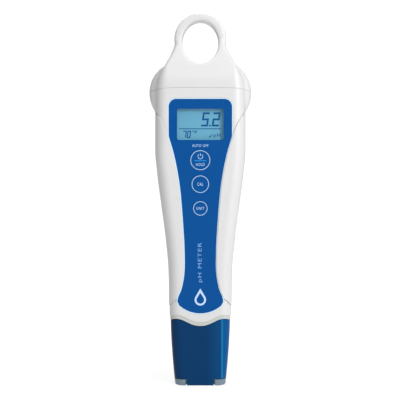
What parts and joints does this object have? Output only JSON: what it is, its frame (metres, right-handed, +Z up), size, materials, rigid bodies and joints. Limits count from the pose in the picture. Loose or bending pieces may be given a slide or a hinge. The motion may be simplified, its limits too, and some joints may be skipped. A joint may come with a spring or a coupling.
{
  "type": "ph tester pen",
  "caption": "Pocket pH tester pen standing on its storage cap: a loop above a battery cap, a display and keys on a tapered grip, and a probe under the cap.",
  "frame": {"origin": "middle of the storage cap's flat base, which the pen stands on", "axes": "+Z up along the pen, -Y out of the front with the display, +X to the right of someone who looks at the display"},
  "size_m": [0.0508, 0.0257, 0.184],
  "materials": {
    "white": "satin",
    "white_rear": "satin",
    "band": "satin",
    "label_blue": "smooth",
    "cap_blue": "polished",
    "smoke": "polished",
    "clear": "polished",
    "lcd": "polished",
    "diffuser": "satin",
    "board": "satin",
    "dark": "satin",
    "grey": "satin",
    "rubber": "matte",
    "battery": "satin",
    "nickel": "bright",
    "steel": "bright",
    "brass": "bright",
    "ceramic": "porous",
    "lead_red": "satin",
    "lead_white": "satin"
  },
  "bodies": {
    "pen": {"housing": "white", "rear_shell": "white_rear", "rear_screw_left": "steel", "rear_screw_right": "steel", "rear_screw_lower": "steel", "battery_cap_seal": "rubber", "front_label": "label_blue", "lcd_window": "clear", "key_seal": "rubber", "lcd_cell": "lcd", "lcd_frame": "dark", "lcd_backlight": "diffuser", "lcd_zebra_upper": "rubber", "lcd_zebra_lower": "rubber", "main_board": "board", "power_switch_body": "dark", "cal_switch_body": "dark", "units_switch_body": "dark", "mcu_chip": "dark", "probe_amplifier_chip": "dark", "backlight_driver_chip": "dark", "crystal_can": "steel", "battery_aaa": "battery", "battery_tube": "grey", "battery_contact_negative": "nickel", "battery_spring": "steel", "contact_finger": "nickel", "probe_holder": "band", "holder_seal": "rubber", "cap_gasket": "rubber", "probe_body": "dark", "ph_glass_electrode": "clear", "reference_wire": "nickel", "outer_junction": "ceramic", "inner_junction": "ceramic", "temperature_pin": "steel", "probe_potting": "dark", "probe_lead_signal": "lead_red", "probe_lead_reference": "lead_white", "temperature_lead": "dark"},
    "battery_cap": {"battery_cap": "white", "cap_contact_plate": "nickel", "fastener_nut": "brass"},
    "fastener_ring": {"fastener_oring": "rubber"},
    "fastener": {"locking_fastener": "grey"},
    "power_key": {"power_key": "label_blue"},
    "cal_key": {"cal_key": "label_blue"},
    "units_key": {"units_key": "label_blue"},
    "power_switch": {"power_switch_button": "grey"},
    "cal_switch": {"cal_switch_button": "grey"},
    "units_switch": {"units_switch_button": "grey"},
    "storage_cap": {"storage_cap": "cap_blue", "storage_cup": "smoke"}
  },
  "joints": [
    {"name": "battery_cap_lift", "type": "slide", "parent": "pen", "child": "battery_cap", "axis": [0, 0, 1], "range_m": [0, 0.06]},
    {"name": "fastener_back_out", "type": "slide", "parent": "battery_cap", "child": "fastener_ring", "axis": [0, 1, 0], "range_m": [0, 0.0015]},
    {"name": "fastener_turn", "type": "hinge", "parent": "fastener_ring", "child": "fastener", "pos_m": [0, 0.0146, 0.1496], "axis": [0, 1, 0], "range_deg": [0, 1080]},
    {"name": "power_key_press", "type": "slide", "parent": "pen", "child": "power_key", "axis": [0, 1, 0], "range_m": [0, 0.0006], "stiffness_N_per_m": 400},
    {"name": "power_switch_press", "type": "slide", "parent": "pen", "child": "power_switch", "axis": [0, 1, 0], "range_m": [0, 0.0003]},
    {"name": "cal_key_press", "type": "slide", "parent": "pen", "child": "cal_key", "axis": [0, 1, 0], "range_m": [0, 0.0006], "stiffness_N_per_m": 400},
    {"name": "cal_switch_press", "type": "slide", "parent": "pen", "child": "cal_switch", "axis": [0, 1, 0], "range_m": [0, 0.0003]},
    {"name": "units_key_press", "type": "slide", "parent": "pen", "child": "units_key", "axis": [0, 1, 0], "range_m": [0, 0.0006], "stiffness_N_per_m": 400},
    {"name": "units_switch_press", "type": "slide", "parent": "pen", "child": "units_switch", "axis": [0, 1, 0], "range_m": [0, 0.0003]},
    {"name": "storage_cap_pull", "type": "slide", "parent": "pen", "child": "storage_cap", "axis": [0, 0, -1], "range_m": [0, 0.07]}
  ],
  "couplings": [
    {"joint": "fastener_turn", "follows": "fastener_back_out", "rad_per_m": 12566},
    {"joint": "power_switch_press", "follows": "power_key_press", "ratio": 0.5},
    {"joint": "cal_switch_press", "follows": "cal_key_press", "ratio": 0.5},
    {"joint": "units_switch_press", "follows": "units_key_press", "ratio": 0.5}
  ]
}
